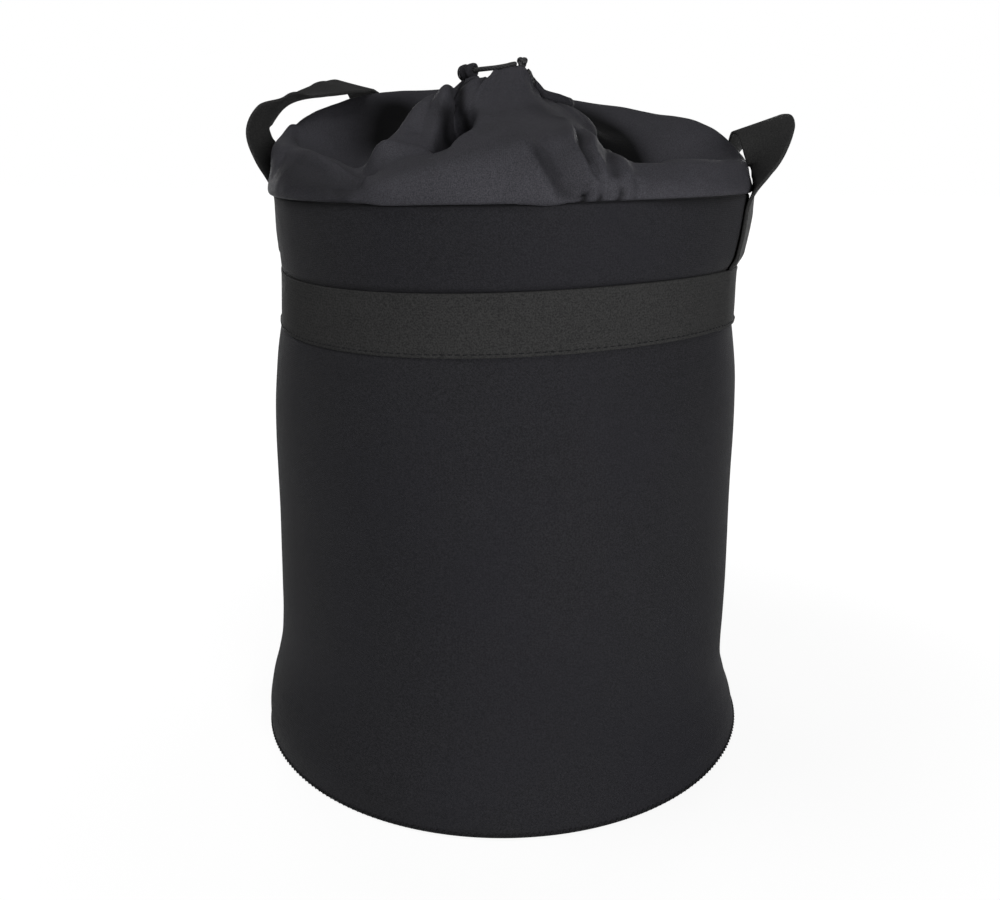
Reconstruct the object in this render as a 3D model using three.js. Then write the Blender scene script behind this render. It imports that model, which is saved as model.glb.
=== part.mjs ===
// Drawstring pouch for a lens: a neoprene tube with a sewn base, a webbing band, two side loops
// and a gathered nylon collar round a drawn mouth.
// Millimetres, +Z up, front towards -Y. The origin is the middle of the base's underside.
import * as THREE from "three";

// Tube
const rimHeight = 256;
const baseRadius = 115.2;
const waistRadius = 108.3;
const rimRadius = 109.6;
const neopreneThickness = 5;
const flareLow = 3;
const flareHigh = 42;
const tubeSides = 60;
const flareSteps = 5;
const plainSteps = 1;
const pinchSteps = 2;
const backBearing = 90;

// Base
const baseThickness = 5;
const edgeSeamHeight = 3.6;
const edgeSeamThickness = 0.9;
const edgeSeamLift = 0.5;
const edgeTaperShare = 0.4;

// Waist band, 1 in webbing, let into the tube a little by its own pull
const webbingWidth = 25.4;
const webbingThickness = 1.6;
const bandDrop = 33.4;
const bandPinch = 4.4;
const pinchReach = 22;
const bandSides = 120;
const lapLength = 38;
const lapSteps = 12;

// Side loops
const loopBearing = 14;
const loopHalfSpan = 22;
const endTuck = 21;
const endSteps = 6;
const loopSteps = 44;
const leftLoopRise = 50;
const leftLoopReach = 12;
const leftLoopTilt = 13;
const rightLoopRise = 31.5;
const rightLoopReach = 20;
const rightLoopTilt = 19;
const legClearShare = 1.25;
const legRampShare = 0.5;

// Inside tapes
const tapeThickness = 0.8;
const seamTapeWidth = 16;
const bindingHeight = 12;

// Collar and mouth
const nylonThickness = 1;
const mouthRise = 61;
const mouthHalfWidth = 25;
const mouthHalfDepth = 16;
const mouthShift = 4;
const hemHeight = 7;
const hemThickness = 5;
const cordDiameter = 2.2;
const knotBearing = -84;
const openingFrom = -138;
const openingTo = -72;
const hemSteps = 46;
const hemSides = 8;
const cordReach = 14;
const cordSteps = 46;
const cordSides = 6;
const knotRadius = 2.6;
const knotLift = 0.8;
const knotSteps = 36;
const collarSides = 96;
const collarSteps = 14;
const gatherCount = 16;
const gatherDepth = 1.1;
const collarOverhang = 0.3;
const collarTurn = 13.5;

// Gaps
const seatGap = 0.3;
const loopGap = 0.6;

// Worked out
const degree = Math.PI / 180;
const fullTurn = 2 * Math.PI;
const bandTop = rimHeight - bandDrop;
const bandBottom = bandTop - webbingWidth;
const bandMiddle = bandTop - webbingWidth / 2;

const smooth = (low, high, value) => THREE.MathUtils.smoothstep(value, low, high);
const mix = (from, to, share) => from + (to - from) * share;

// Outer radius of the tube at a height: flared to the base, drawn in under the band
function tubeRadius(z) {
  const plain = mix(waistRadius, rimRadius, z / rimHeight);
  const flare = (baseRadius - waistRadius) * (1 - smooth(flareLow, flareHigh, z));
  const halfBand = webbingWidth / 2;
  const offBand = Math.abs(z - bandMiddle);
  const pinch = bandPinch * (1 - smooth(halfBand, halfBand + pinchReach, offBand));
  return plain + flare - pinch;
}

// Point at a bearing round the pouch, counted in degrees from +X towards +Y
function around(bearing, radius, z) {
  return new THREE.Vector3(radius * Math.cos(bearing * degree), radius * Math.sin(bearing * degree), z);
}

// Solid skin through rings of points, either capped at both ends or closed on itself
function loft(rings, closed) {
  const count = rings[0].length;
  const faces = [];
  const spans = closed ? rings.length : rings.length - 1;
  for (let i = 0; i < spans; i++) {
    const here = rings[i];
    const next = rings[(i + 1) % rings.length];
    for (let j = 0; j < count; j++) {
      const k = (j + 1) % count;
      faces.push([here[j], here[k], next[k]], [here[j], next[k], next[j]]);
    }
  }
  if (!closed) {
    const first = rings[0];
    const last = rings[rings.length - 1];
    for (let j = 1; j < count - 1; j++) {
      faces.push([first[0], first[j + 1], first[j]], [last[0], last[j], last[j + 1]]);
    }
  }
  return closedSkin(faces);
}

// Closed skin from triangles that all wind the same way, turned to face out
function closedSkin(faces) {
  const volume = faces.reduce((sum, [a, b, c]) => sum + a.dot(b.clone().cross(c)), 0);
  if (volume < 0) faces.forEach((face) => face.reverse());
  const geometry = new THREE.BufferGeometry().setFromPoints(faces.flat());
  geometry.computeVertexNormals();
  return geometry;
}

// Ring of revolution from a closed outline of [radius, height] pairs, drawn anticlockwise
function revolve(outline, sides) {
  const points = outline.map(([radius, height]) => new THREE.Vector2(radius, height));
  points.push(points[0].clone());
  const geometry = new THREE.LatheGeometry(points, sides);
  geometry.rotateX(Math.PI / 2);
  return geometry;
}

const materials = {
  neoprene: new THREE.MeshStandardMaterial({ color: 0x161618, roughness: 0.9, metalness: 0 }),
  webbing: new THREE.MeshStandardMaterial({ color: 0x1c1c1c, roughness: 0.85, metalness: 0 }),
  nylon: new THREE.MeshStandardMaterial({ color: 0x24242a, roughness: 0.5, metalness: 0 }),
  thread: new THREE.MeshStandardMaterial({ color: 0x101010, roughness: 0.7, metalness: 0 }),
  tape: new THREE.MeshStandardMaterial({ color: 0x18181a, roughness: 0.75, metalness: 0 }),
  cord: new THREE.MeshStandardMaterial({ color: 0x0c0c0d, roughness: 0.65, metalness: 0 }),
};

const pouch = new THREE.Group();

function add(name, geometry, finish) {
  const mesh = new THREE.Mesh(geometry, materials[finish]);
  mesh.name = name;
  pouch.add(mesh);
}

// Heights at which the tube is drawn: close together in the flare and beside the band
function tubeStations() {
  const stretches = [
    [0, flareHigh, flareSteps],
    [flareHigh, bandBottom - pinchReach, plainSteps],
    [bandBottom - pinchReach, bandBottom, pinchSteps],
    [bandBottom, bandTop, 1],
    [bandTop, Math.min(bandTop + pinchReach, rimHeight), pinchSteps],
    [Math.min(bandTop + pinchReach, rimHeight), rimHeight, 1],
  ];
  const heights = [0];
  for (const [low, high, steps] of stretches) {
    for (let i = 1; i <= steps && high > low; i++) heights.push(mix(low, high, i / steps));
  }
  return heights;
}
const tubeHeights = tubeStations();

// Outer radius of the tube as drawn, with straight sides between its stations
function wallRadius(z) {
  const height = THREE.MathUtils.clamp(z, 0, rimHeight);
  let i = 1;
  while (i < tubeHeights.length - 1 && tubeHeights[i] < height) i++;
  const low = tubeHeights[i - 1];
  const high = tubeHeights[i];
  return mix(tubeRadius(low), tubeRadius(high), (height - low) / (high - low));
}

// Neoprene tube: its outer side up, its inner side down
function wallPanel() {
  const outer = tubeHeights.map((z) => [tubeRadius(z), z]);
  const inner = tubeHeights.map((z) => [tubeRadius(z) - neopreneThickness, z]).reverse();
  return revolve([...outer, ...inner], tubeSides);
}

// Round base inside the foot of the tube
function baseDisc() {
  const edge = Math.min(wallRadius(0), wallRadius(baseThickness)) - neopreneThickness - seatGap;
  return revolve(
    [
      [0, 0],
      [edge, 0],
      [edge, baseThickness],
      [0, baseThickness],
    ],
    tubeSides,
  );
}

// Overlocked edge round the foot of the tube
function baseEdgeSeam() {
  const seat = Math.max(wallRadius(0), wallRadius(edgeSeamHeight)) + seatGap;
  return revolve(
    [
      [seat, edgeSeamLift],
      [seat + edgeSeamThickness, edgeSeamLift],
      [seat + edgeSeamThickness, edgeSeamHeight / 2],
      [seat + edgeSeamThickness * edgeTaperShare, edgeSeamHeight],
      [seat, edgeSeamHeight],
    ],
    tubeSides,
  );
}

// Flat strip of tape or webbing bent round the pouch between two bearings
function bentStrip(fromBearing, toBearing, steps, lowZ, highZ, innerRadius, thickness) {
  const rings = [];
  for (let i = 0; i <= steps; i++) {
    const bearing = mix(fromBearing, toBearing, i / steps);
    rings.push([
      around(bearing, innerRadius(lowZ, bearing), lowZ),
      around(bearing, innerRadius(highZ, bearing), highZ),
      around(bearing, innerRadius(highZ, bearing) + thickness, highZ),
      around(bearing, innerRadius(lowZ, bearing) + thickness, lowZ),
    ]);
  }
  return rings;
}

// Inside radius of the tube as drawn, less the room that a smooth piece needs inside its flat facets
const facetSag = baseRadius * (1 - Math.cos(Math.PI / tubeSides));
const insideSeat = (z) => wallRadius(z) - neopreneThickness - seatGap - facetSag;

// Tape over the seam that closes the neoprene into a tube, at the back inside
function backSeamTape() {
  const halfAngle = seamTapeWidth / 2 / (waistRadius * degree);
  const low = baseThickness + seatGap;
  const high = rimHeight - bindingHeight - seatGap;
  const heights = [low, ...tubeHeights.filter((z) => z > low && z < high), high];
  const rings = heights.map((z) => {
    const outside = insideSeat(z);
    const inside = outside - tapeThickness;
    const edges = [backBearing - halfAngle, backBearing, backBearing + halfAngle];
    return [
      ...edges.map((bearing) => around(bearing, inside, z)),
      ...edges.reverse().map((bearing) => around(bearing, outside, z)),
    ];
  });
  return loft(rings, false);
}

// Tape that binds the seam of tube and collar, inside the rim
function rimBinding() {
  const low = rimHeight - bindingHeight;
  const outside = Math.min(wallRadius(low), wallRadius(rimHeight)) - neopreneThickness - seatGap;
  return revolve(
    [
      [outside - tapeThickness, low],
      [outside, low],
      [outside, rimHeight],
      [outside - tapeThickness, rimHeight],
    ],
    tubeSides,
  );
}

// Bearings of the four loop ends, front and rear of each side
const sideBearings = { right: loopBearing, left: 180 - loopBearing };
function legBearings(side) {
  const towardsFront = side === "right" ? -1 : 1;
  return {
    front: sideBearings[side] + towardsFront * loopHalfSpan,
    rear: sideBearings[side] - towardsFront * loopHalfSpan,
  };
}
const allLegs = Object.keys(sideBearings).flatMap((side) => Object.values(legBearings(side)));

// The band stands off the tube by one strap's thickness where a loop end lies under it
const legHalfAngle = webbingWidth / 2 / (rimRadius * degree);
const legClear = legHalfAngle * legClearShare;
const legRamp = legHalfAngle * legRampShare;
function strapLift(bearing) {
  let lift = 0;
  for (const leg of allLegs) {
    const off = Math.abs(THREE.MathUtils.euclideanModulo(bearing - leg + 180, 360) - 180);
    lift = Math.max(lift, 1 - smooth(legClear, legClear + legRamp, off));
  }
  return lift * (webbingThickness + seatGap);
}

const bandSeat = Math.max(wallRadius(bandBottom), wallRadius(bandTop)) + seatGap;

function waistBand() {
  const rings = bentStrip(
    0,
    360,
    bandSides,
    bandBottom,
    bandTop,
    (z, bearing) => bandSeat + strapLift(bearing) + seatGap,
    webbingThickness,
  );
  rings.pop();
  return loft(rings, true);
}

// The band's turned end, lapped over its start at the back
function waistBandLap() {
  const halfAngle = lapLength / 2 / (bandSeat * degree);
  const seat = bandSeat + seatGap + webbingThickness + seatGap;
  const rings = bentStrip(
    backBearing - halfAngle,
    backBearing + halfAngle,
    lapSteps,
    bandBottom,
    bandTop,
    () => seat,
    webbingThickness,
  );
  return loft(rings, false);
}

// Loop end under the band: a flat strip against the tube
function loopEnd(bearing) {
  const halfAngle = webbingWidth / 2 / (bandSeat * degree);
  const rings = bentStrip(
    bearing - halfAngle,
    bearing + halfAngle,
    endSteps,
    bandTop - endTuck,
    bandTop + seatGap,
    () => bandSeat,
    webbingThickness,
  );
  return loft(rings, false);
}

// Route of a side loop from its front leg over the crown to its rear leg. Each row:
// place between the legs as a share of the half span, stand-off from the rim as a share of the
// reach, height as a share of the rise above the rim or of the drop below it, and the strap's
// turn in degrees, where 0 lies flat on the tube. At 90 its front edge stands out from the tube, at
// -90 its rear edge does.
const leftRouteShares = [
  [-1, 0, -1, 0],
  [-1, 0, -0.6, 0],
  [-1, 0, -0.2, 0],
  [-1, 0.22, 0.06, 2],
  [-1, 0.66, 0.28, 8],
  [-0.98, 0.94, 0.5, 12],
  [-0.9, 0.84, 0.66, 6],
  [-0.74, 0.5, 0.77, -8],
  [-0.52, 0.28, 0.86, -26],
  [-0.25, -0.1, 0.94, -48],
  [0.06, -0.36, 1, -70],
  [0.4, -0.06, 1.04, -88],
  [0.75, 0.42, 1.05, -103],
  [1.02, 0.76, 0.85, -125],
  [1.1, 0.76, 0.55, -148],
  [1.06, 0.5, 0.2, -166],
  [1, 0.15, -0.15, -177],
  [1, 0, -0.6, -180],
  [1, 0, -1, -180],
];
const rightRouteShares = [
  [-1, 0, -1, 0],
  [-1, 0, -0.6, 0],
  [-0.99, 0, -0.2, 0],
  [-0.97, 0.22, 0.06, 7],
  [-0.93, 0.42, 0.28, 23],
  [-0.84, 0.52, 0.52, 42],
  [-0.62, 0.47, 0.76, 60],
  [-0.3, 0.38, 0.95, 75],
  [0.06, 0.36, 1, 86],
  [0.42, 0.52, 0.95, 98],
  [0.76, 0.72, 0.76, 120],
  [0.96, 0.6, 0.42, 145],
  [1.02, 0.34, 0.08, 166],
  [1, 0.06, -0.25, 177],
  [1, 0, -0.6, 180],
  [1, 0, -1, 180],
];
const loopShapes = {
  left: { rise: leftLoopRise, reach: leftLoopReach, tilt: leftLoopTilt, rows: leftRouteShares },
  right: { rise: rightLoopRise, reach: rightLoopReach, tilt: rightLoopTilt, rows: rightRouteShares },
};

// Radius of a loop's middle line: close against the tube below the rim, free of it above
function loopRadius(z, turn, standOff) {
  const across = Math.abs(Math.sin(turn)) * webbingWidth;
  const through = Math.abs(Math.cos(turn)) * webbingThickness;
  const lean = (across + through) / 2;
  const close = Math.max(wallRadius(z), bandSeat) + loopGap + lean + standOff;
  const overRim = smooth(rimHeight - bindingHeight, rimHeight, z);
  return mix(close, rimRadius + standOff, overRim);
}

// Value between the rows of a table, through each of them without a corner
function alongRows(values, share) {
  const at = share * (values.length - 1);
  const i = Math.min(Math.floor(at), values.length - 2);
  const pick = (k) => values[THREE.MathUtils.clamp(k, 0, values.length - 1)];
  const t = at - i;
  const slopeFrom = (pick(i + 1) - pick(i - 1)) / 2;
  const slopeTo = (pick(i + 2) - pick(i)) / 2;
  return hermite(pick(i), pick(i + 1), slopeFrom, slopeTo, t);
}

function hermite(from, to, slopeFrom, slopeTo, t) {
  const rest = 1 - t;
  const level = rest * rest * (1 + 2 * t) * from + t * t * (3 - 2 * t) * to;
  return level + rest * t * (rest * slopeFrom - t * slopeTo);
}

function handleLoop(side) {
  const { rise, reach, tilt, rows } = loopShapes[side];
  const towardsFront = side === "right" ? -1 : 1;
  const drop = bandDrop - 2 * seatGap;
  const halfWidth = webbingWidth / 2;
  const halfThickness = webbingThickness / 2;
  const column = (k, share) => alongRows(rows.map((row) => row[k]), share);
  const place = (share) => {
    const bearing = sideBearings[side] - towardsFront * column(0, share) * loopHalfSpan;
    const up = column(2, share);
    const z = rimHeight + (up < 0 ? up * drop : up * rise);
    const turn = column(3, share) * degree;
    const radius = loopRadius(z, turn, column(1, share) * reach);
    return { bearing, turn, point: around(bearing, radius, z) };
  };
  const rings = [];
  for (let i = 0; i <= loopSteps; i++) {
    const share = i / loopSteps;
    const { bearing, turn, point } = place(share);
    const behind = place(Math.max(share - 1 / loopSteps, 0)).point;
    const forward = place(Math.min(share + 1 / loopSteps, 1)).point.sub(behind).normalize();
    const outward = around(bearing, 1, 0);
    const width = new THREE.Vector3(-outward.y, outward.x, 0)
      .multiplyScalar(towardsFront * Math.cos(turn))
      .addScaledVector(outward, Math.sin(turn));
    width.z = Math.tan(tilt * degree) * Math.sin(turn);
    width.addScaledVector(forward, -width.dot(forward)).normalize();
    const face = new THREE.Vector3().crossVectors(forward, width);
    const corner = (across, off) =>
      point
        .clone()
        .addScaledVector(width, across * halfWidth)
        .addScaledVector(face, off * halfThickness);
    rings.push([corner(-1, -1), corner(1, -1), corner(1, 1), corner(-1, 1)]);
  }
  return loft(rings, false);
}

// Shape of the collar by bearing. Heights are shares of the mouth's rise, radii shares of the rim's:
// bearing, crest height, crest radius, bowl height, neck height, mouth height.
const collarShares = [
  [-180, 0.38, 0.985, 0.21, 0.6, 0.93],
  [-157, 0.33, 0.93, 0.16, 0.6, 0.95],
  [-128, 0.2, 0.91, 0.4, 0.74, 0.97],
  [-108, 0.33, 0.87, 0.37, 0.6, 0.97],
  [-90, 0.39, 0.84, 0.52, 0.67, 1],
  [-70, 0.37, 0.84, 0.48, 0.69, 1],
  [-58, 0.28, 0.87, 0.4, 0.64, 0.97],
  [-42, 0.28, 0.91, 0.12, 0.5, 0.9],
  [-15, 0.24, 0.97, 0.06, 0.42, 0.84],
  [0, 0.28, 0.99, 0.14, 0.45, 0.79],
  [18, 0.5, 0.96, 0.33, 0.54, 0.77],
  [45, 0.635, 0.92, 0.5, 0.62, 0.77],
  [90, 0.82, 0.9, 0.66, 0.75, 0.94],
  [130, 0.82, 0.92, 0.62, 0.78, 0.99],
  [152, 0.71, 0.93, 0.42, 0.74, 0.97],
  [168, 0.57, 0.95, 0.28, 0.68, 0.94],
];
// Large folds on top of that shape: start and end in plan as shares of the rim's radius, height
// as a share of the mouth's rise, and width across as a share of the rim's radius
const foldShares = [
  { from: [-0.2, -0.12], to: [-0.33, -0.5], height: 0.12, width: 0.11 },
  { from: [-0.17, -0.22], to: [-0.19, -0.56], height: -0.17, width: 0.09 },
  { from: [0.08, -0.18], to: [0.32, -0.66], height: 0.1, width: 0.11 },
  { from: [0.38, -0.32], to: [0.52, -0.6], height: -0.12, width: 0.14 },
  { from: [-0.44, -0.3], to: [-0.66, -0.42], height: -0.1, width: 0.15 },
  { from: [-0.1, -0.72], to: [0.4, -0.84], height: 0.04, width: 0.08 },
];
const bowlRadiusShare = 0.6;
const neckRadiusShare = 0.36;
const bulgeRadiusShare = 1.0;
const bulgeHeightShare = 0.42;
const gatherSpanShares = [0.55, 0.95];
const foldStartShare = 0.24;
const foldEndShare = 0.66;

// Smooth value of one column of the table at a bearing, through its rows as a closed curve
function shareAt(column, bearing) {
  const rows = collarShares;
  const turned = THREE.MathUtils.euclideanModulo(bearing + 180, 360) - 180;
  let i = rows.length - 1;
  while (rows[i][0] > turned) i--;
  const row = (k) => {
    const wrapped = (k + rows.length) % rows.length;
    return { at: rows[wrapped][0] + 360 * Math.floor(k / rows.length), value: rows[wrapped][column] };
  };
  const [before, from, to, after] = [row(i - 1), row(i), row(i + 1), row(i + 2)];
  const span = to.at - from.at;
  const slopeFrom = ((to.value - before.value) / (to.at - before.at)) * span;
  const slopeTo = ((after.value - from.value) / (after.at - from.at)) * span;
  return hermite(from.value, to.value, slopeFrom, slopeTo, (turned - from.at) / span);
}

// Middle line of the hem's tunnel round the mouth
function hemPoint(bearing, lift) {
  const height = rimHeight + mouthRise * shareAt(5, bearing) - hemHeight / 2 + lift;
  const point = new THREE.Vector3(
    mouthShift + mouthHalfWidth * Math.cos(bearing * degree),
    mouthHalfDepth * Math.sin(bearing * degree),
    height,
  );
  return point.applyAxisAngle(new THREE.Vector3(0, 0, 1), collarTurn * degree);
}

// Middle surface of the collar: bearing in degrees, and share from the rim (0) to the hem (1)
function collarSection(bearing) {
  const turned = bearing + collarTurn;
  const crest = mouthRise * shareAt(1, bearing);
  const foot = rimRadius + collarOverhang - nylonThickness / 2;
  const top = hemPoint(bearing, -hemHeight / 2 - 2 * seatGap);
  return new THREE.CatmullRomCurve3(
    [
      around(turned, foot, rimHeight + seatGap),
      around(turned, rimRadius * bulgeRadiusShare, rimHeight + crest * bulgeHeightShare),
      around(turned, rimRadius * shareAt(2, bearing), rimHeight + crest),
      around(turned, rimRadius * bowlRadiusShare, rimHeight + mouthRise * shareAt(3, bearing)),
      around(turned, rimRadius * neckRadiusShare, rimHeight + mouthRise * shareAt(4, bearing)),
      top,
    ],
    false,
    "centripetal",
  );
}

// Height that the folds add at a place in plan
function foldLift(point) {
  const plan = point.clone().setZ(0);
  plan.applyAxisAngle(new THREE.Vector3(0, 0, 1), -collarTurn * degree).divideScalar(rimRadius);
  let lift = 0;
  for (const { from, to, height, width } of foldShares) {
    const line = new THREE.Line3(new THREE.Vector3(...from, 0), new THREE.Vector3(...to, 0));
    const nearest = line.closestPointToPoint(plan, true, new THREE.Vector3());
    lift += height * Math.exp(-((nearest.distanceTo(plan) / width) ** 2));
  }
  return lift * mouthRise;
}

function collar() {
  const grid = [];
  for (let i = 0; i < collarSides; i++) {
    const share = i / collarSides;
    const bearing = -180 + 360 * share;
    const section = collarSection(bearing);
    const outward = around(bearing + collarTurn, 1, 0);
    const wave = Math.cos(fullTurn * gatherCount * share);
    const line = [];
    for (let j = 0; j <= collarSteps; j++) {
      const up = j / collarSteps;
      const gather = gatherDepth * wave * smooth(...gatherSpanShares, up);
      const point = section.getPointAt(up).addScaledVector(outward, gather);
      point.z += foldLift(point) * smooth(0, foldStartShare, up) * (1 - smooth(foldEndShare, 1, up));
      line.push(point);
    }
    grid.push(line);
  }
  const normalAt = (i, j) => {
    const around1 = grid[(i + 1) % collarSides][j].clone().sub(grid[(i + collarSides - 1) % collarSides][j]);
    const along = grid[i][Math.min(j + 1, collarSteps)].clone().sub(grid[i][Math.max(j - 1, 0)]);
    return around1.cross(along).normalize();
  };
  const rings = grid.map((line, i) => {
    const outside = [];
    const inside = [];
    line.forEach((point, j) => {
      const normal = normalAt(i, j);
      if (j === 0 || j === collarSteps) normal.setZ(0).normalize();
      outside.push(point.clone().addScaledVector(normal, nylonThickness / 2));
      inside.unshift(point.clone().addScaledVector(normal, -nylonThickness / 2));
    });
    return [...outside, ...inside];
  });
  return loft(rings, true);
}

// Hem of the collar: an oval tunnel round the mouth, open where the cord comes out
function drawstringChannel() {
  const rings = [];
  const bore = cordDiameter / 2 + 2 * seatGap;
  for (let i = 0; i <= hemSteps; i++) {
    const bearing = mix(openingTo, openingFrom + 360, i / hemSteps);
    const centre = hemPoint(bearing, 0);
    const outward = hemPoint(bearing, 0).sub(hemPoint(bearing + 180, 0)).setZ(0).normalize();
    const up = new THREE.Vector3(0, 0, 1);
    const ring = [];
    const oval = (halfWide, halfHigh, turn) =>
      centre
        .clone()
        .addScaledVector(outward, halfWide * Math.cos(turn))
        .addScaledVector(up, halfHigh * Math.sin(turn));
    for (let j = 0; j < hemSides; j++) {
      ring.push(oval(hemThickness / 2, hemHeight / 2, (fullTurn * j) / hemSides));
    }
    const hole = [];
    for (let j = 0; j < hemSides; j++) hole.push(oval(bore, bore, (fullTurn * j) / hemSides));
    rings.push({ ring, hole });
  }
  return tunnel(rings);
}

// Tube wall between outer rings and inner rings, closed by a flat annulus at each end
function tunnel(sections) {
  const faces = [];
  const quad = (a, b, c, d) => faces.push([a, b, c], [a, c, d]);
  const count = sections[0].ring.length;
  for (let j = 0; j < count; j++) {
    const k = (j + 1) % count;
    for (let i = 0; i < sections.length - 1; i++) {
      const here = sections[i];
      const next = sections[i + 1];
      quad(here.ring[j], here.ring[k], next.ring[k], next.ring[j]);
      quad(here.hole[k], here.hole[j], next.hole[j], next.hole[k]);
    }
    const first = sections[0];
    const last = sections[sections.length - 1];
    quad(first.ring[k], first.ring[j], first.hole[j], first.hole[k]);
    quad(last.ring[j], last.ring[k], last.hole[k], last.hole[j]);
  }
  return closedSkin(faces);
}

// Cord in the tunnel, out through the opening to the knot
function drawstring() {
  const points = [];
  const start = knotBearing + cordReach;
  const end = knotBearing + 360 - cordReach;
  for (let i = 0; i <= hemSteps; i++) points.push(hemPoint(mix(start, end, i / hemSteps), 0));
  const path = new THREE.CatmullRomCurve3(points);
  return tubeAlong(path, cordDiameter / 2, cordSteps, cordSides);
}

function tubeAlong(path, radius, steps, sides) {
  const shape = new THREE.Shape();
  for (let j = 0; j < sides; j++) {
    const turn = (fullTurn * j) / sides;
    const place = [radius * Math.cos(turn), radius * Math.sin(turn)];
    if (j === 0) shape.moveTo(...place);
    else shape.lineTo(...place);
  }
  shape.closePath();
  return new THREE.ExtrudeGeometry(shape, { steps, extrudePath: path, bevelEnabled: false });
}

// Overhand knot that joins the cord ends
function drawstringKnot() {
  const geometry = new THREE.TorusKnotGeometry(knotRadius, cordDiameter / 2, knotSteps, cordSides, 2, 3);
  const place = hemPoint(knotBearing, knotLift);
  geometry.rotateX(Math.PI / 2);
  geometry.translate(place.x, place.y, place.z);
  return geometry;
}

add("wall_panel", wallPanel(), "neoprene");
add("base_disc", baseDisc(), "neoprene");
add("base_edge_seam", baseEdgeSeam(), "thread");
add("back_seam_tape", backSeamTape(), "tape");
add("rim_binding", rimBinding(), "tape");
add("waist_band", waistBand(), "webbing");
add("waist_band_lap", waistBandLap(), "webbing");
for (const side of Object.keys(sideBearings)) {
  const legs = legBearings(side);
  add(side + "_handle_loop", handleLoop(side), "webbing");
  add(side + "_handle_front_end", loopEnd(legs.front), "webbing");
  add(side + "_handle_rear_end", loopEnd(legs.rear), "webbing");
}
add("collar", collar(), "nylon");
add("drawstring_channel", drawstringChannel(), "nylon");
add("drawstring", drawstring(), "cord");
add("drawstring_knot", drawstringKnot(), "cord");

export default pouch;
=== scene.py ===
# Looks for a drawstring pouch: neoprene tube, webbing band and side loops, gathered nylon collar.
# Lengths in the tables are millimetres; meshes are built in metres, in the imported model's frame.
import math

import bmesh
import bpy
import numpy as np
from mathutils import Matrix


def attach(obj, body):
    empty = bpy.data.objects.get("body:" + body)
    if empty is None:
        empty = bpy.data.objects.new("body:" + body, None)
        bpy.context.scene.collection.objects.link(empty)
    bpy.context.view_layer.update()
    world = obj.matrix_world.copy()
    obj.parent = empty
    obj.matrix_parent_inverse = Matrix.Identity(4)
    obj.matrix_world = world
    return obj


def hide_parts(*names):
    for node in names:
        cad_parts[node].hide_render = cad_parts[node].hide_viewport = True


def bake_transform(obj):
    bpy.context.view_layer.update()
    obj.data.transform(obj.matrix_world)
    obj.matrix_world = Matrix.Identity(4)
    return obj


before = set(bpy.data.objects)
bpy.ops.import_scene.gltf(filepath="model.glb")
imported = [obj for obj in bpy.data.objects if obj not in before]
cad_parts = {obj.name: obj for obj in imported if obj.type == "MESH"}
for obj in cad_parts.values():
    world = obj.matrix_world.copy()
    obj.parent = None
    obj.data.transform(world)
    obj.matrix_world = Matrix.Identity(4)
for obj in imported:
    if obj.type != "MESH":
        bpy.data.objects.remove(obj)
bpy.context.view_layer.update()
print("frame loaded:", len(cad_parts), "nodes")

mm = 0.001
degree = math.pi / 180
cameraTurn = 13.5  # bearing of the photograph's camera from the front, in degrees


def smooth(low, high, value):
    t = np.clip((np.asarray(value, float) - low) / (high - low), 0, 1)
    return t * t * (3 - 2 * t)


def fade(low, high, value):
    return 1 - smooth(low, high, value)


def mix(start, end, share):
    return start + (end - start) * share


def curveThrough(places, values, at):
    # smooth line through rows of a table, level beyond its ends
    at = np.clip(np.asarray(at, float), places[0], places[-1])
    slopes = np.gradient(values, places)
    i = np.clip(np.searchsorted(places, at, side="right") - 1, 0, len(places) - 2)
    span = places[i + 1] - places[i]
    t = (at - places[i]) / span
    rest = 1 - t
    level = rest * rest * (1 + 2 * t) * values[i] + t * t * (3 - 2 * t) * values[i + 1]
    return level + rest * t * span * (rest * slopes[i] - t * slopes[i + 1])


def around(bearing, radius, z):
    bearing, radius, z = np.broadcast_arrays(bearing, radius, z)
    return np.stack([radius * np.cos(bearing * degree), radius * np.sin(bearing * degree), z], -1)


def unit(vectors):
    return vectors / np.maximum(np.linalg.norm(vectors, axis=-1, keepdims=True), 1e-12)


def waves(seed, count, lowest, highest, *places):
    # soft unevenness between about -1 and 1, from a few sine waves with fixed seeds
    rng = np.random.default_rng(seed)
    total = 0
    for _ in range(count):
        turns = [rng.uniform(lowest, highest) * rng.choice([-1, 1]) for _ in places]
        total = total + np.sin(sum(t * p for t, p in zip(turns, places)) + rng.uniform(0, 2 * math.pi))
    return total / math.sqrt(count)


def wholeTurn(count):
    return np.linspace(-90, 270, count, endpoint=False)


def turnLengths(count, radius):
    # lengths along a whole turn, for the weave
    return np.linspace(-90, 270, count + 1) * degree * radius


def lengthsAlong(points):
    steps = np.linalg.norm(np.diff(points, axis=0), axis=-1)
    return np.concatenate([[0], np.cumsum(steps)])


def girth(outline):
    return lengthsAlong(np.vstack([outline, outline[:1]]))


def addObject(name, data):
    made = bpy.data.objects.new(name, data)
    bpy.context.scene.collection.objects.link(made)
    return made


def makePiece(name, points, faces, uvs=None):
    mesh = bpy.data.meshes.new(name)
    mesh.from_pydata((np.asarray(points) * mm).tolist(), [], faces)
    if uvs is not None:
        layer = mesh.uv_layers.new(name="cloth")
        layer.data.foreach_set("uv", (uvs * mm).ravel())
    mesh.update()
    piece = addObject(name, mesh)
    shape = bmesh.new()
    shape.from_mesh(mesh)
    bmesh.ops.recalc_face_normals(shape, faces=shape.faces)
    shape.to_mesh(mesh)
    shape.free()
    mesh.shade_smooth()
    return piece


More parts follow.
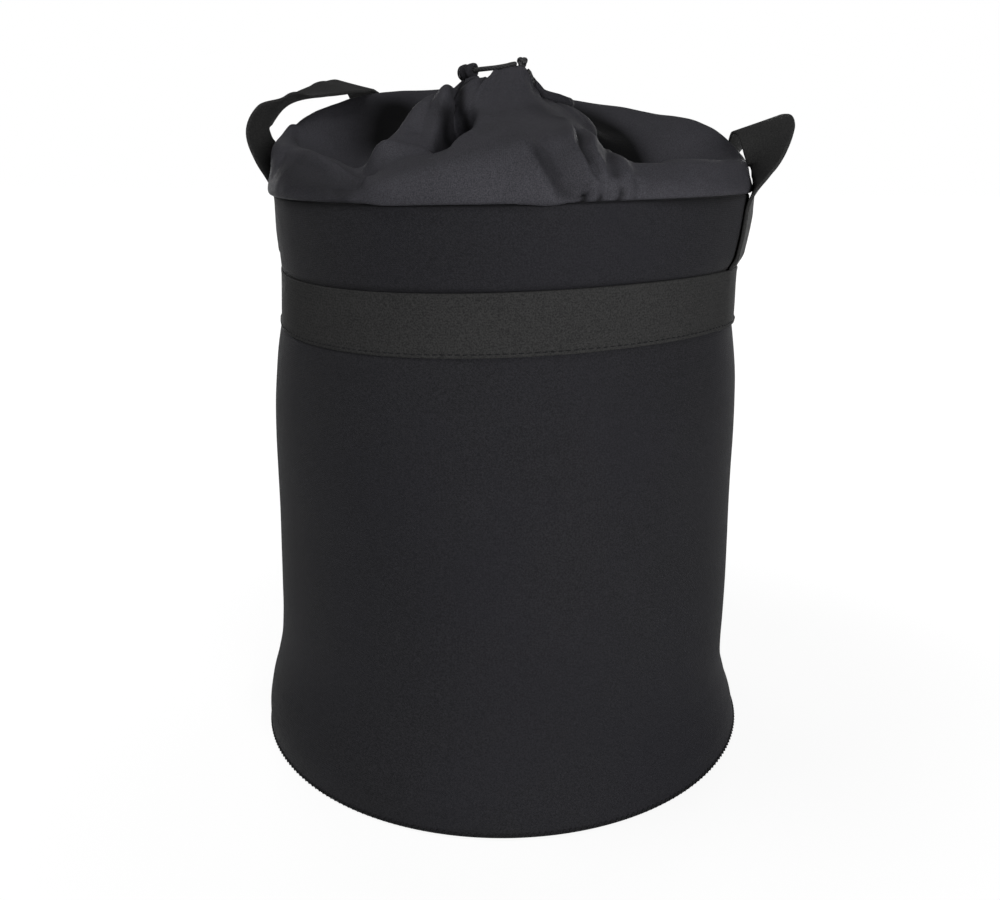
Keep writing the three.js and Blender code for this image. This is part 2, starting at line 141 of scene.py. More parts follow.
def skin(name, rings, across, along, closed, upright=False):
    # closed body from rings of points; across and along are lengths for the weave, in mm
    count, points = rings.shape[:2]
    spans = count if closed else count - 1
    i, j = np.indices((spans, points)).reshape(2, -1)
    corners = [(i, j), (i, j + 1), (i + 1, j + 1), (i + 1, j)]
    faces = np.stack([a % count * points + b % points for a, b in corners], -1).tolist()
    uvs = np.stack([np.stack([across[b], along[a]], -1) for a, b in corners], 1).reshape(-1, 2)
    if not closed:
        for ring, order in ((0, range(points)[::-1]), (count - 1, range(points))):
            faces.append([ring * points + k for k in order])
            uvs = np.concatenate([uvs, [[across[k], along[ring]] for k in order]])
    return makePiece(name, rings.reshape(-1, 3), faces, uvs[:, ::-1] if upright else uvs)


def strapOutline(width, thickness, flatSteps):
    # a woven strap's cross-section with rounded edges: place across it, and off its middle
    corner = thickness * 0.42
    halfWidth = width / 2 - corner
    flat = [(x, -thickness / 2) for x in np.linspace(-halfWidth, halfWidth, flatSteps + 1)]
    turns = math.pi / 6 * np.arange(-2, 3)
    edge = [(halfWidth + corner * math.cos(turn), thickness / 2 * math.sin(turn)) for turn in turns]
    half = np.array(flat + edge)
    return np.vstack([half, -half])


def roundRings(line, radii, upward, sideways, sides):
    turn = 2 * math.pi * np.arange(sides)[:, None] / sides
    return line[:, None] + radii[:, None, None] * (
        np.cos(turn) * upward[:, None] + np.sin(turn) * sideways[:, None])


def tube(name, line, radius, sides, closed=False):
    # round cord or thread along a line, its free ends rounded off
    before, after = np.roll(line, 1, 0), np.roll(line, -1, 0)
    radii = np.full(len(line), radius)
    if not closed:
        before[0], after[-1] = 2 * line[0] - line[1], 2 * line[-1] - line[-2]
        radii[[0, -1]] *= 0.55
    forward = unit(after - before)
    upward = np.empty_like(forward)
    upward[0] = unit(np.cross(forward[0], [0.3, 0.2, 0.9]))
    for k in range(1, len(line)):
        upward[k] = unit(upward[k - 1] - forward[k] * np.dot(upward[k - 1], forward[k]))
    rings = roundRings(line, radii, upward, np.cross(forward, upward), sides)
    rim = 2 * math.pi * np.arange(sides + 1) / sides * np.mean(radii)
    return skin(name, rings, rim, girth(line) if closed else lengthsAlong(line), closed)


def joinPieces(name, parts):
    # several small meshes as one piece
    with bpy.context.temp_override(
            active_object=parts[0], selected_editable_objects=parts, selected_objects=parts):
        bpy.ops.object.join()
    parts[0].name = name
    parts[0].data.name = name
    return parts[0]


def stitchRow(name, lines, radius, sides=6):
    # short stitches, each a little tube that dips at its ends
    stitches = []
    for line in lines:
        forward = unit(np.gradient(line, axis=0))
        outward = line * [1, 1, 0]
        outward = unit(outward - forward * np.sum(outward * forward, -1, keepdims=True))
        swell = radius * np.sqrt(1 - np.linspace(-0.93, 0.93, len(line)) ** 2)
        rings = roundRings(line, swell, outward, np.cross(forward, outward), sides)
        stitches.append(skin(name, rings, 0.2 * np.arange(sides + 1), 0.4 * np.arange(len(line)), False))
    return joinPieces(name, stitches)


def markPaintedShade(piece, shares):
    # painted shade: how little light gets in at each point, darkened into the colour in the shader
    layer = piece.data.attributes.new("painted_shade", "FLOAT", "POINT")
    layer.data.foreach_set("value", shares.ravel())


class Value:
    # a node's output, so that shader maths reads as a sum
    def __init__(self, finish, socket):
        self.finish, self.socket = finish, socket

    def __add__(self, other):
        return self.finish.maths("ADD", self, other)

    def __radd__(self, other):
        return self.finish.maths("ADD", other, self)

    def __sub__(self, other):
        return self.finish.maths("SUBTRACT", self, other)

    def __rsub__(self, other):
        return self.finish.maths("SUBTRACT", other, self)

    def __mul__(self, other):
        return self.finish.maths("MULTIPLY", self, other)

    def __rmul__(self, other):
        return self.finish.maths("MULTIPLY", other, self)

    def __truediv__(self, other):
        return self.finish.maths("DIVIDE", self, other)


class Finish:
    # the nodes of one material, or of the world
    def __init__(self, holder):
        holder.use_nodes = True
        self.holder, self.tree = holder, holder.node_tree

    def node(self, kind, settings, values, output=0):
        made = self.tree.nodes.new(kind)
        for key, setting in settings.items():
            setattr(made, key, setting)
        for key, value in values.items():
            self.put(made.inputs[key], value)
        return Value(self, made.outputs[output])

    def put(self, socket, value):
        if isinstance(value, Value):
            self.tree.links.new(value.socket, socket)
        else:
            socket.default_value = value if np.isscalar(value) else (*value, 1)

    def set(self, **values):
        names = {
            "colour": "Base Color", "roughness": "Roughness", "normal": "Normal",
            "sheen": "Sheen Weight", "sheenRoughness": "Sheen Roughness", "shine": "Specular IOR Level",
        }
        for key, value in values.items():
            self.put(self.tree.nodes["Principled BSDF"].inputs[names[key]], value)
        return self.holder

    def maths(self, operation, first, second=0.0):
        return self.node("ShaderNodeMath", {"operation": operation}, {0: first, 1: second})

    def noise(self, scale, detail, roughness=0.55):
        place = self.node("ShaderNodeTexCoord", {}, {}, "Object")
        return self.node(
            "ShaderNodeTexNoise", {},
            {"Vector": place, "Scale": scale, "Detail": detail, "Roughness": roughness}, "Fac")

    def wave(self, place, pitch, shift=0.0):
        # goes between 0 and 1 once in each pitch
        return self.maths("SINE", place * (2 * math.pi / pitch) + shift) * 0.5 + 0.5

    def tint(self, share, first, second):
        # colour between two colours
        return self.node(
            "ShaderNodeMix", {"data_type": "RGBA"}, {"Factor": share, 6: first, 7: second}, 2)

    def mottled(self, look, cloud, speck, weave):
        # the look's dark to its light, by clouds, specks and the weave
        cloudShare, speckShare, weaveShare, level = look["shares"]
        share = cloud * cloudShare + speck * speckShare + weave * weaveShare + level
        return self.tint(share, look["dark"], look["light"])

    def shaded(self, colour, shade):
        # painted shade: darkens the colour towards the shade colour by the mesh's painted shade attribute
        painted_shade = self.node("ShaderNodeAttribute", {"attribute_name": "painted_shade"}, {}, "Fac")
        return self.tint(painted_shade, colour, shade)

    def bump(self, height, distance, strength, **under):
        values = {"Height": height, "Distance": distance, "Strength": strength, **under}
        return self.node("ShaderNodeBump", {}, values, "Normal")


def startCloth(name, look):
    # a new material, lengths across and along the cloth in metres, and its clouds and specks
    finish = Finish(bpy.data.materials.new(name))
    place = finish.node("ShaderNodeUVMap", {"uv_map": "cloth"}, {})
    axes = [finish.node("ShaderNodeSeparateXYZ", {}, {0: place}, axis) for axis in (0, 1)]
    return finish, *axes, *(finish.noise(*look[kind]) for kind in ("cloud", "speck") if kind in look)


# cloud, speck and the like are noise: scale, detail, roughness
# shares: how much clouds, specks and the weave count in the colour, and where it starts
neopreneLook = {
    "dark": (0.0085, 0.0085, 0.0098), "light": (0.019, 0.0188, 0.0212), "roughness": 0.82,
    # shade: the colour that painted shade darkens towards, under the rim and over the band
    "patch": (0.0135, 0.0132, 0.0175), "shade": (0.003, 0.003, 0.0034),
    "cloud": (22, 4.0, 0.6), "speck": (1500, 3.0, 0.75), "fuzz": (2600, 2.0), "patches": (14, 3.0, 0.6),
    "shares": (0.45, 4.4, 0.1, -1.99),
    "knitPitch": 0.0011, "rowPitch": 0.0008, "knitDepth": 0.00016, "cloudDepth": 0.0012,
}


def neopreneFinish(look):
    finish, across, along, cloud, speck = startCloth("neoprene_jersey", look)
    # columns of knit stitches, each a pair of slanted legs
    column = finish.maths("FRACT", across / look["knitPitch"])
    slant = finish.maths("ABSOLUTE", column - 0.5) * 2
    rows = finish.wave(along + slant * (look["rowPitch"] / 2), look["rowPitch"])
    columns = 1 - finish.maths("ABSOLUTE", slant - 0.5) * 2
    knit = rows * 0.5 + columns * 0.5
    colour = finish.mottled(look, cloud, speck, knit)
    # faint bluish patches
    colour = finish.tint(finish.noise(*look["patches"]) * 1.2 - 0.45, colour, look["patch"])
    normal = finish.bump(knit + finish.noise(*look["fuzz"]) * 0.5, look["knitDepth"], 0.55)
    # colour darkened by the painted shade attribute
    return finish.set(
        colour=finish.shaded(colour, look["shade"]), roughness=cloud * 0.12 + (look["roughness"] - 0.06),
        normal=finish.bump(cloud, look["cloudDepth"], 0.35, Normal=normal), shine=0.1,
        sheen=0.04, sheenRoughness=0.4)


webbingLook = {
    "dark": (0.014, 0.014, 0.0143), "light": (0.031, 0.031, 0.0305), "roughness": 0.74,
    "cloud": (35, 3.0, 0.6), "speck": (1500, 3.0, 0.75), "shares": (0.4, 4, 0.14, -1.73),
    "ribPitch": 0.0011, "pickPitch": 0.0009, "depth": 0.00012,
}


def webbingFinish(look):
    finish, across, along, cloud, speck = startCloth("webbing_weave", look)
    # each warp rib is shifted by half a pick against its neighbours
    rib = finish.maths("FRACT", across / look["ribPitch"])
    side = finish.maths("FLOOR", across / look["ribPitch"])
    picks = finish.wave(along, look["pickPitch"], finish.maths("MODULO", side, 2.0) * math.pi)
    ribs = finish.maths("SINE", rib * math.pi)
    weave = ribs * 0.5 + picks * ribs * 0.5
    return finish.set(
        colour=finish.mottled(look, cloud, speck, weave), roughness=cloud * 0.1 + look["roughness"],
        normal=finish.bump(weave * 0.6 + speck * 0.6, look["depth"], 0.6),
        shine=0.06, sheen=0.01, sheenRoughness=0.45)


nylonLook = {
    "dark": (0.0245, 0.0241, 0.0277), "light": (0.0505, 0.0496, 0.0573), "roughness": 0.66,
    # shade: the colour that painted shade darkens towards, in the collar's folds and on the hem tunnel
    "shade": (0.002, 0.002, 0.0022), "cloud": (28, 4.0, 0.6), "crinkle": (75, 4.0, 0.6),
    "speck": (2100, 3.0, 0.75), "shares": (0.45, 4.2, 0.1, -1.85),
    "threadPitch": 0.00055, "threadDepth": 0.00012, "crinkleDepth": 0.0011,
}


def nylonFinish(look):
    finish, across, along, cloud, speck = startCloth("nylon_taffeta", look)
    weave = finish.wave(across, look["threadPitch"]) * finish.wave(along, look["threadPitch"])
    crinkle = finish.noise(*look["crinkle"])
    colour = finish.mottled(look, cloud, speck, weave)
    normal = finish.bump(crinkle, look["crinkleDepth"], 0.3)
    # colour darkened by the painted shade attribute
    return finish.set(
        colour=finish.shaded(colour, look["shade"]), roughness=crinkle * 0.14 + (look["roughness"] - 0.07),
        normal=finish.bump(weave + speck, look["threadDepth"], 0.5, Normal=normal),
        shine=0.05, sheen=0.01, sheenRoughness=0.35)


tapeLook = {
    "dark": (0.012, 0.012, 0.013), "light": (0.034, 0.034, 0.036), "cloud": (30, 3.0),
    "speck": (1400, 3.0), "shares": (0.3, 0.4, 0.3, 0), "ribPitch": 0.0012, "depth": 0.0002,
}


def tapeFinish(look):
    finish, across, along, cloud, speck = startCloth("ribbed_tape", look)
    ribs = finish.wave(along, look["ribPitch"])
    return finish.set(
        colour=finish.mottled(look, cloud, speck, ribs), roughness=cloud * 0.1 + 0.66,
        normal=finish.bump(ribs + speck * 0.3, look["depth"], 0.6),
        shine=0.3, sheen=0.05, sheenRoughness=0.4)


# share: how much the strands count in the colour, against specks
threadLook = {
    "dark": (0.007, 0.007, 0.008), "light": (0.02, 0.02, 0.021), "speck": (1800, 2.0), "share": 0.5,
    "slants": (0.6,), "pitch": 0.0006, "depth": 0.00012, "bump": 0.6,
    "roughness": 0.5, "shine": 0.03, "sheen": 0.01,
}
cordLook = {
    "dark": (0.006, 0.006, 0.007), "light": (0.026, 0.026, 0.027), "speck": (1700, 2.0), "share": 0.6,
    "slants": (0.9, -0.9), "pitch": 0.0016, "depth": 0.0003, "bump": 0.8,
    "roughness": 0.55, "shine": 0.35, "sheen": 0.05,
}


def strandFinish(name, look):
    finish, across, along, speck = startCloth(name, look)
    strands = 1
    for slant in look["slants"]:
        strands = strands * finish.wave(along + across * slant, look["pitch"])
    share = strands * look["share"] + speck * (1 - look["share"])
    return finish.set(
        colour=finish.tint(share, look["dark"], look["light"]), roughness=speck * 0.1 + look["roughness"],
        normal=finish.bump(strands, look["depth"], look["bump"]),
        shine=look["shine"], sheen=look["sheen"], sheenRoughness=0.4)


finishes = {
    "neoprene": neopreneFinish(neopreneLook), "webbing": webbingFinish(webbingLook),
    "nylon": nylonFinish(nylonLook), "tape": tapeFinish(tapeLook),
    "thread": strandFinish("sewing_thread", threadLook), "cord": strandFinish("braided_cord", cordLook),
}

print("materials ready:", len(finishes))


def dress(piece, slot, body, *nodes):
    piece.data.materials.clear()
    piece.data.materials.append(finishes[slot])
    if body:
        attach(piece, body)
    if nodes:
        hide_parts(*nodes)
    return piece


wall = {
    "height": 256, "rimRadius": 109.6, "thickness": 5, "edge": 1.4, "arcRadius": 109,
    "bearings": 480, "heights": 150, "innerHeights": 60,
    # height, outer radius and lean towards the camera's right
    "profile": [
        (0, 115.7, -2.2), (6, 115.3, -2.9), (12, 114.6, -3.5), (18, 113.1, -4.1), (24, 111.7, -4.3),
        (30, 110.1, -4.2), (36, 109.1, -3.8), (42, 108.5, -3.2), (55, 108.3, -2.4), (73, 108.6, -2),
        (92, 108.8, -1.8), (110, 108.9, -1.6), (128, 109.2, -1.4), (145, 109.5, -1.1),
        (162, 109.3, -0.8), (174, 108.7, -0.5), (185, 107.7, -0.5), (196, 106.2, -0.5),
        (203, 105.2, -0.3), (216, 105.1, 0.1), (224, 106, 0.4), (231, 107.2, 0.8),
        (239, 108.4, 1.2), (247, 109.2, 1.6), (256, 109.5, 2.1)],
    "rimWave": 1.0, "waveFrom": 200, "dentDepth": 0.45, "seamWidth": 2.2, "seamDepth": 0.7,
    # heights where dents and the seam start or stop showing
    "calm": {"foot": (0, 30), "band": (186, 196), "overBand": (224, 232), "rim": (225, 256)},
    # strengths of the painted shade under the rim and over the band
    "seamBearing": 90, "bandEdge": 1.5, "rimPaintedShade": 0.75, "bandPaintedShade": 0.5,
}


def wallProfile(z, column):
    rows = np.array(wall["profile"])
    return curveThrough(rows[:, 0], rows[:, column], z)


def leanAt(z):
    return np.asarray(wallProfile(z, 2))[..., None] * around(cameraTurn, 1, 0)


def waveOfEdges(bearing):
    # the band and the rim dip at the front left and climb at the front right
    return np.sin(2 * (bearing - cameraTurn + 90) * degree)


def wallPoint(bearing, z, off=0.0):
    # a place on the outer face, moved off it by a distance
    calm = wall["calm"]
    seam = np.exp(-((bearing - wall["seamBearing"]) * degree * wall["arcRadius"] / wall["seamWidth"]) ** 2)
    hold = smooth(*calm["foot"], z) * fade(*calm["rim"], z)
    hold = hold * (1 - smooth(*calm["band"], z) * fade(*calm["overBand"], z))
    turn = bearing * degree
    dents = waves(3, 7, 1.0, 2.0, np.cos(turn) * 2.2, np.sin(turn) * 2.2, z / 38)
    radius = wallProfile(z, 1) + off + hold * (wall["dentDepth"] * dents - wall["seamDepth"] * seam)
    rise = wall["rimWave"] * waveOfEdges(bearing) * smooth(wall["waveFrom"], wall["height"], z)
    return around(bearing, radius, z + rise) + leanAt(z)


def makeWall():
    top, edge, inset = wall["height"], wall["edge"], wall["thickness"]

    def corner(across, z, start):
        turns = start - np.linspace(0, math.pi / 2, 5)
        return [(across + edge * math.cos(turn), z + edge * math.sin(turn)) for turn in turns]
    outer = [(0, z) for z in np.linspace(edge, top - edge, wall["heights"])]
    inner = [(inset, z) for z in np.linspace(top - edge, edge, wall["innerHeights"])]
    outline = np.array(
        outer + corner(edge, top - edge, math.pi)[1:] + corner(inset - edge, top - edge, math.pi / 2)[:-1]
        + inner + corner(inset - edge, edge, 0)[1:] + corner(edge, edge, -math.pi / 2)[:-1])
    inward, height = outline.T
    bearings = wholeTurn(wall["bearings"])[:, None]
    # the band and the loops' ends press into the padding
    wave, soft = waveOfEdges(bearings), wall["bandEdge"]
    level = height - band["wave"] * wave
    low = band["top"] - band["width"]
    above = smooth(low - soft, low + soft, level)
    dent = band["squeeze"] * above * fade(band["top"] - soft, band["top"] + soft, level)
    beside = above * fade(band["top"] + 0.5, band["top"] + 5.5, level)
    dent = (inward < edge / 2) * (dent + loops["dent"] * beside * endShare(bearings))
    rings = wallPoint(bearings, height, -inward) - around(bearings, 1, 0) * dent[..., None]
    # the knit's columns stand upright
    along = turnLengths(wall["bearings"], wall["arcRadius"])
    piece = skin("wall_cover", rings, girth(outline), along, True, True)
    # painted shade under the collar's edge and over the band, standing in for their contact shadows
    uneven = np.clip(0.7 + 0.5 * waves(31, 5, 2, 9, bearings * degree), 0.3, 1.6)
    paintedShadeUnderRim = wall["rimPaintedShade"] * np.exp(-((top - height) / (2.2 * uneven)) ** 2)
    bandTop = band["top"] + (band["wave"] - wall["rimWave"]) * wave
    overBand = wall["bandPaintedShade"] * np.exp(-((height - bandTop) / 1.3) ** 2)
    markPaintedShade(piece, (inward < edge / 2) * np.maximum(paintedShadeUnderRim, overBand))
    dress(piece, "neoprene", "pouch", "wall_panel")


base = {
    "thickness": 5, "gap": 0.9, "bevel": 0.6, "rings": 40, "crown": 0.5, "bearings": 240, "arcRadius": 60,
}


def makeBase():
    thickness = base["thickness"]
    edge = wallProfile(2.0, 1) - wall["thickness"] - base["gap"]
    shares = np.linspace(0.02, 1, base["rings"])
    under = [(share * edge, 0.0) for share in shares[:-1]]
    side = [(edge - base["bevel"], 0.05), (edge, 0.8),
            (edge, thickness - 0.8), (edge - base["bevel"], thickness - 0.05)]
    over = [(share * edge, thickness + base["crown"] * (1 - share * share)) for share in shares[-2::-1]]
    outline = np.array(under + side + over)
    rings = around(wholeTurn(base["bearings"])[:, None], *outline.T) + leanAt(thickness / 2)
    along = turnLengths(base["bearings"], base["arcRadius"])
    piece = skin("base_cover", rings, girth(outline), along, True)
    dress(piece, "neoprene", "pouch", "base_disc")


overlock = {
    "pitch": 2.6, "radius": 115.6, "low": 1.2, "high": 2.5, "depth": 0.25, "thread": 0.24,
    "perStitch": 8, "bead": 0.3, "beadHeight": 1.35, "beadSway": 0.08, "beadPoints": 720,
}


def makeOverlock():
    # scalloped thread edge round the foot, where the tube is sewn to the base
    count = int(round(2 * math.pi * overlock["radius"] / overlock["pitch"]))
    turn = np.arange(count * overlock["perStitch"]) / overlock["perStitch"]
    swing = np.cos(2 * math.pi * turn)
    z = mix(overlock["low"], overlock["high"], 0.5 - 0.5 * swing)
    off = overlock["thread"] * 0.6 + overlock["depth"] / 2 * (1 + swing)
    stitches = wallPoint(-90 + 360 * turn / count, z, off)
    bearings = wholeTurn(overlock["beadPoints"])
    sway = overlock["beadSway"] * np.sin(bearings * 40 * degree)
    bead = wallPoint(bearings, overlock["beadHeight"] + sway, -overlock["beadSway"])
    piece = joinPieces("foot_overlock", [
        tube("overlock_loops", stitches, overlock["thread"], 6, True),
        tube("overlock_line", bead, overlock["bead"], 6, True)])
    dress(piece, "thread", "pouch", "base_edge_seam")


makeBase()
makeOverlock()
print("tube and base made")

band = {
    "width": 25.4, "thickness": 1.6, "top": 222.6, "gap": 0.35, "bearings": 480, "wave": 2.0,
    "squeeze": 1.5, "slack": 0.55, "arcRadius": 107, "body": 0.06,
    "stitchPitch": 3.1, "stitchLength": 2.2, "stitchThread": 0.28, "stitchInset": 1.6,
    "lapLength": 38, "lapSteps": 48, "lapGap": 0.3,
}
loops = {
    "halfSpan": 22, "width": 25.4, "thickness": 1.6, "gap": 0.6, "dent": 0.9, "clearance": 0.25,
    "steps": 200, "tuck": 21, "endGap": 0.1, "endArcRadius": 106, "legLength": 32.8,
    # heights over which a leg leaves the band, its dent, and the rim
    "fromBand": (224, 232), "fromDent": (222, 230), "fromRim": (247, 256),
}
# rows: place between the legs, stand-off, height and turn of the strap, from the front leg to the rear
loopSides = {
    # its front leg was sewn on a little further back
    "right": {"bearing": 14, "way": 1, "front": 0.82, "rise": 31.5, "reach": 19, "tilt": 19, "rows": [
        (-0.82, 0, -1, 0), (-0.82, 0, -0.6, 0), (-0.82, 0, -0.2, 0), (-0.82, 0.12, 0.06, 7),
        (-0.8, 0.26, 0.28, 23), (-0.74, 0.37, 0.52, 42), (-0.58, 0.38, 0.76, 60),
        (-0.3, 0.34, 0.95, 75), (0.06, 0.34, 1, 86), (0.42, 0.5, 0.95, 98),
        (0.76, 0.7, 0.76, 120), (0.96, 0.58, 0.42, 145), (1.02, 0.34, 0.08, 166),
        (1, 0.06, -0.25, 177), (1, 0, -0.6, 180), (1, 0, -1, 180)]},
    "left": {"bearing": 166, "way": -1, "front": 1, "rise": 50, "reach": 12, "tilt": 13, "rows": [
        (-1, 0, -1, 0), (-1, 0, -0.6, 0), (-1, 0, -0.2, 0), (-1, 0.22, 0.06, 2), (-1, 0.66, 0.28, 8),
        (-0.98, 0.94, 0.5, 12), (-0.9, 0.84, 0.66, 6), (-0.74, 0.5, 0.77, -8),
        (-0.52, 0.28, 0.86, -26), (-0.25, -0.1, 0.94, -48), (0.06, -0.36, 1, -70),
        (0.4, -0.06, 1.04, -88), (0.75, 0.42, 1.05, -103), (1.02, 0.76, 0.85, -125),
        (1.1, 0.76, 0.55, -148), (1.06, 0.5, 0.2, -166), (1, 0.15, -0.15, -177),
        (1, 0, -0.6, -180), (1, 0, -1, -180)]},
}
legBearings = {}
for side, shape in loopSides.items():
    legBearings[side, "front"] = shape["bearing"] - shape["way"] * loops["halfSpan"] * shape["front"]
    legBearings[side, "rear"] = shape["bearing"] + shape["way"] * loops["halfSpan"]
bandSeat = float(np.max(wallProfile(np.linspace(band["top"] - band["width"], band["top"], 9), 1)))


def endShare(bearing):
    # 1 where a loop's end lies between the band and the tube
    halfAngle = loops["width"] / 2 / (wall["rimRadius"] * degree)
    share = 0
    for leg in legBearings.values():
        off = np.abs((bearing - leg + 180) % 360 - 180)
        share = np.maximum(share, fade(halfAngle, halfAngle * 2.6, off))
    return share


def seatRadius(z):
    # the face of the padding, pressed in by the band
    return np.maximum(wallProfile(z, 1), bandSeat - band["slack"]) - band["squeeze"]


def bandPoint(bearing, z, off):
    # a place on or off the band's inner face; z is measured on the level band
    lift = endShare(bearing) * (loops["thickness"] + loops["clearance"] - loops["dent"])
    radius = seatRadius(z) + band["gap"] + lift + off
    return around(bearing, radius, z + band["wave"] * waveOfEdges(bearing)) + leanAt(z)


def makeBand():
    outline = strapOutline(band["width"], band["thickness"], 16)
    bearings = wholeTurn(band["bearings"])[:, None]
    half, arc = band["width"] / 2, degree * band["arcRadius"]
    z = band["top"] - half + outline[:, 0]
    body = band["body"] * waves(11, 6, 0.5, 1.4, bearings / 4, outline[:, 0] / 4)
    body = body * fade(half - 2.2, half - 0.6, np.abs(outline[:, 0]))
    rings = bandPoint(bearings, z, band["thickness"] / 2 + outline[:, 1] + body)
    lengths = turnLengths(band["bearings"], band["arcRadius"])
    dress(skin("band_webbing", rings, girth(outline), lengths, True), "webbing", "pouch", "waist_band")
    # the lap, over the seam at the back
    halfAngle = band["lapLength"] / 2 / arc
    bearings = wall["seamBearing"] + np.linspace(-halfAngle, halfAngle, band["lapSteps"])
    rings = bandPoint(bearings[:, None], z, band["thickness"] * 1.5 + band["lapGap"] + outline[:, 1])
    piece = skin("band_lap", rings, girth(outline), bearings * arc, False)
    dress(piece, "webbing", "pouch", "waist_band_lap")
    # stitches along the band's lower edge
    count = int(round(360 * arc / band["stitchPitch"]))
    t = np.linspace(-1, 1, 6)
    run = band["stitchLength"] / 2 / arc * t
    lines = [
        bandPoint(bearing + run, band["top"] - band["width"] + band["stitchInset"],
                  band["thickness"] + 0.1 - 0.22 * t * t)
        for bearing in wholeTurn(count)]
    dress(stitchRow("band_stitches", lines, band["stitchThread"]), "thread", "pouch")


makeWall()
makeBand()
print("band made")


def loopRadius(z, turn, standOff):
    lean = loops["width"] / 2 * np.abs(np.sin(turn)) + loops["thickness"] / 2 * np.abs(np.cos(turn))
    free = smooth(*loops["fromBand"], z)
    seat = np.maximum(wallProfile(z, 1), mix(bandSeat, 0, free))
    seat = seat - (band["squeeze"] + loops["dent"]) * fade(*loops["fromDent"], z)
    close = seat + loops["gap"] * mix(1, 0.4, free) + lean + standOff
    return mix(close, wall["rimRadius"] + standOff, smooth(*loops["fromRim"], z))


def makeLoop(side):
    shape = loopSides[side]
    rows = np.array(shape["rows"])
    at, shares = np.linspace(0, 1, len(rows)), np.linspace(0, 1, loops["steps"])
    along, stand, up, turn = (curveThrough(at, rows[:, k], shares) for k in range(4))
    bearing = shape["bearing"] + shape["way"] * along * loops["halfSpan"]
    z = wall["height"] + up * np.where(up < 0, loops["legLength"], shape["rise"])
    turn = turn * degree
    points = around(bearing, loopRadius(z, turn, stand * shape["reach"]), z)
    points = points + leanAt(np.minimum(z, wall["height"]))
    forward = unit(np.gradient(points, axis=0))
    outward = around(bearing, 1, 0)
    tangent = around(bearing - 90, 1, 0) * shape["way"]
    width = tangent * np.cos(turn)[:, None] + outward * np.sin(turn)[:, None]
    width[:, 2] = math.tan(shape["tilt"] * degree) * np.sin(turn)
    width = unit(width - forward * np.sum(width * forward, -1, keepdims=True))
    outline = strapOutline(loops["width"], loops["thickness"], 14)
    rings = (points[:, None] + outline[:, :1] * width[:, None]
             + outline[:, 1:] * np.cross(forward, width)[:, None])
    piece = skin(f"{side}_loop_strap", rings, girth(outline), lengthsAlong(points), False)
    return dress(piece, "webbing", None, f"{side}_handle_loop")


def makeLoopEnd(side, end):
    outline = strapOutline(loops["width"], loops["thickness"], 14)
    heights = np.linspace(band["top"] - loops["tuck"], band["top"] + 0.3, 24)
    bearings = legBearings[side, end] + outline[:, 0] / (loops["endArcRadius"] * degree)
    radius = seatRadius(heights) + loops["endGap"] + loops["thickness"] / 2 - loops["dent"]
    rings = around(bearings, radius[:, None] + outline[:, 1], heights[:, None]) + leanAt(heights)[:, None]
    piece = skin(f"{side}_{end}_end_strap", rings, girth(outline), heights, False)
    dress(piece, "webbing", "pouch", f"{side}_handle_{end}_end")


loopPieces = {side: makeLoop(side) for side in loopSides}
for side, end in legBearings:
    makeLoopEnd(side, end)
print("side loops made")

